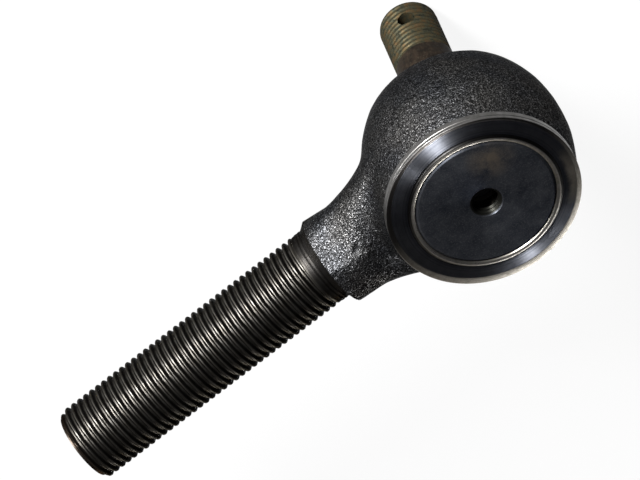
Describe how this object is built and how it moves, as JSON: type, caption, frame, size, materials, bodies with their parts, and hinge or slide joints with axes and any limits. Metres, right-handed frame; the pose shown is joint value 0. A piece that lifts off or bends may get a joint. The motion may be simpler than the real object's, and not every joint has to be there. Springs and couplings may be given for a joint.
{
  "type": "tie rod end",
  "caption": "Steering ball joint: forged socket on a male-threaded shank, with a tapered stud that tilts and turns, a flat cover and a low rubber boot.",
  "frame": {"origin": "centre of the flat end face of the threaded shank; the ball's centre is at (-0.095, 0, 0)", "axes": "+X out of the shank's end face, away from the ball; +Z along the stud's axis at rest, out of the cover, so the stud points down; +Y completes a right-handed frame"},
  "size_m": [0.1156, 0.0412, 0.0618],
  "materials": {
    "forged_steel": "dark shot-blasted forging, with a turned lip and band and a cut thread",
    "cover_steel": "dark blue-grey oiled sheet steel",
    "spring_steel": "oiled spring wire",
    "cup_steel": "greased sintered steel",
    "bearing_plastic": "satin bearing plastic",
    "stud_steel": "olive-brown passivated steel",
    "boot_rubber": "matt black rubber",
    "ring_steel": "bright spring wire"
  },
  "bodies": {
    "housing": {"housing": "forged_steel", "cover_plate": "cover_steel", "pressure_spring": "spring_steel", "bearing_seat": "bearing_plastic", "dust_boot": "boot_rubber", "boot_large_ring": "ring_steel"},
    "pressure_cup": {"pressure_cup": "cup_steel"},
    "boot_end": {"boot_small_ring": "ring_steel"},
    "ball_stud": {"ball_stud": "stud_steel"}
  },
  "joints": [
    {"name": "swing_direction", "type": "hinge", "parent": "housing", "child": "pressure_cup", "pos_m": [-0.095, 0, 0], "axis": [0, 0, 1], "continuous": true},
    {"name": "stud_tilt", "type": "hinge", "parent": "pressure_cup", "child": "boot_end", "pos_m": [-0.095, 0, 0], "axis": [0, 1, 0], "range_deg": [-22, 22], "deforming": ["dust_boot"]},
    {"name": "stud_spin", "type": "hinge", "parent": "boot_end", "child": "ball_stud", "pos_m": [-0.095, 0, 0], "axis": [0, 0, 1], "continuous": true}
  ]
}
